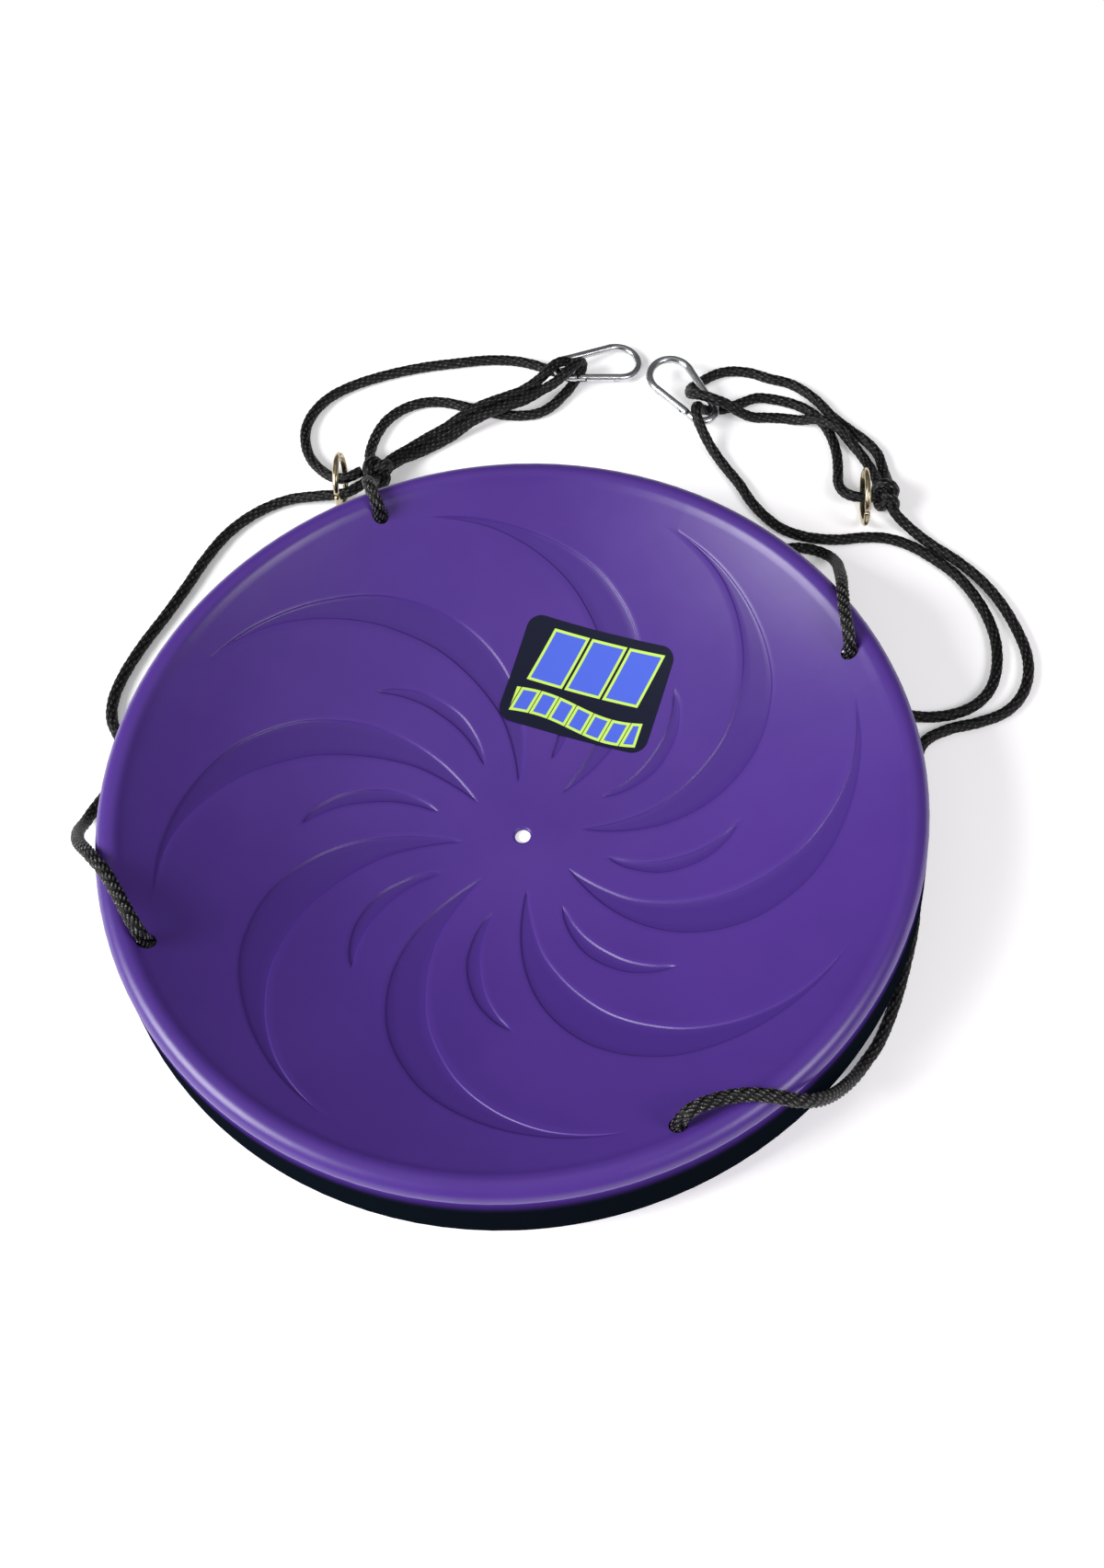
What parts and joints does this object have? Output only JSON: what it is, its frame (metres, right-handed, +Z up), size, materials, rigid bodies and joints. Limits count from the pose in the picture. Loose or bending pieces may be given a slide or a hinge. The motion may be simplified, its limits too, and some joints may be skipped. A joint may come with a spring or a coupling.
{
  "type": "saucer swing",
  "caption": "Round moulded disc swing seat with a rolled rim and skirt, hung on ropes with adjuster rings and sprung snap hooks, laid on the ground.",
  "frame": {"origin": "on the ground under the middle of the seat disc, which rests on its belly", "axes": "+Z up along the seat's axis; +Y from the seat towards the snap hooks"},
  "size_m": [0.755, 0.8129, 0.0997],
  "materials": {
    "seat_plastic": "satin moulded polyethylene",
    "label_film": "printed vinyl film",
    "rope": "solid braided polypropylene",
    "hook_zinc": "bright zinc plate",
    "ring_nickel": "nickel-plated wire",
    "spring_steel": "drawn spring wire"
  },
  "bodies": {
    "seat": {"seat_disc": "seat_plastic", "seat_rim_front": "seat_plastic", "seat_rim_back": "seat_plastic", "seat_skirt": "seat_plastic", "label": "label_film", "rope_front_left": "rope", "rope_front_right": "rope", "rope_back_left": "rope", "rope_back_right": "rope", "stopper_knot_front_left": "rope", "stopper_knot_front_right": "rope", "stopper_knot_back_left": "rope", "stopper_knot_back_right": "rope", "adjuster_knot_left": "rope", "adjuster_knot_right": "rope"},
    "ring_left": {"adjuster_ring_left": "ring_nickel"},
    "ring_right": {"adjuster_ring_right": "ring_nickel"},
    "hook_left": {"hook_body_left": "hook_zinc"},
    "hook_right": {"hook_body_right": "hook_zinc"},
    "gate_left": {"hook_gate_left": "hook_zinc", "gate_rivet_left": "hook_zinc", "gate_spring_left": "spring_steel"},
    "gate_right": {"hook_gate_right": "hook_zinc", "gate_rivet_right": "hook_zinc", "gate_spring_right": "spring_steel"},
    "plunger_left": {"gate_plunger_left": "spring_steel"},
    "plunger_right": {"gate_plunger_right": "spring_steel"}
  },
  "joints": [
    {"name": "ring_left_turn", "type": "hinge", "parent": "seat", "child": "ring_left", "pos_m": [-0.167, 0.332, 0.0253], "axis": [1, 0, 0], "continuous": true},
    {"name": "hook_left_swing", "type": "hinge", "parent": "seat", "child": "hook_left", "pos_m": [0.026, 0.468, 0.014], "axis": [0.1496, 0.0457, 0.9877], "range_deg": [-8, 8]},
    {"name": "gate_left_open", "type": "hinge", "parent": "hook_left", "child": "gate_left", "pos_m": [0.03687, 0.45785, 0.01282], "axis": [0.1496, 0.0457, 0.9877], "range_deg": [0, 25], "stiffness_Nm_per_rad": 0.1, "springref_deg": -22.92},
    {"name": "plunger_left_push", "type": "slide", "parent": "gate_left", "child": "plunger_left", "axis": [0.9793, 0.1307, -0.1544], "range_m": [0, 0.0007]},
    {"name": "ring_right_turn", "type": "hinge", "parent": "seat", "child": "ring_right", "pos_m": [0.283, 0.31, 0.0253], "axis": [1, 0, 0], "continuous": true},
    {"name": "hook_right_swing", "type": "hinge", "parent": "seat", "child": "hook_right", "pos_m": [0.146, 0.417, 0.014], "axis": [-0.0525, 0.0696, -0.9962], "range_deg": [-8, 8]},
    {"name": "gate_right_open", "type": "hinge", "parent": "hook_right", "child": "gate_right", "pos_m": [0.1312, 0.41523, 0.01465], "axis": [-0.0525, 0.0696, -0.9962], "range_deg": [0, 25], "stiffness_Nm_per_rad": 0.1, "springref_deg": -22.92},
    {"name": "plunger_right_push", "type": "slide", "parent": "gate_right", "child": "plunger_right", "axis": [-0.7205, 0.6881, 0.086], "range_m": [0, 0.0007]}
  ],
  "couplings": [
    {"joint": "plunger_left_push", "follows": "gate_left_open", "m_per_rad": 0.001375},
    {"joint": "plunger_right_push", "follows": "gate_right_open", "m_per_rad": 0.001375}
  ]
}
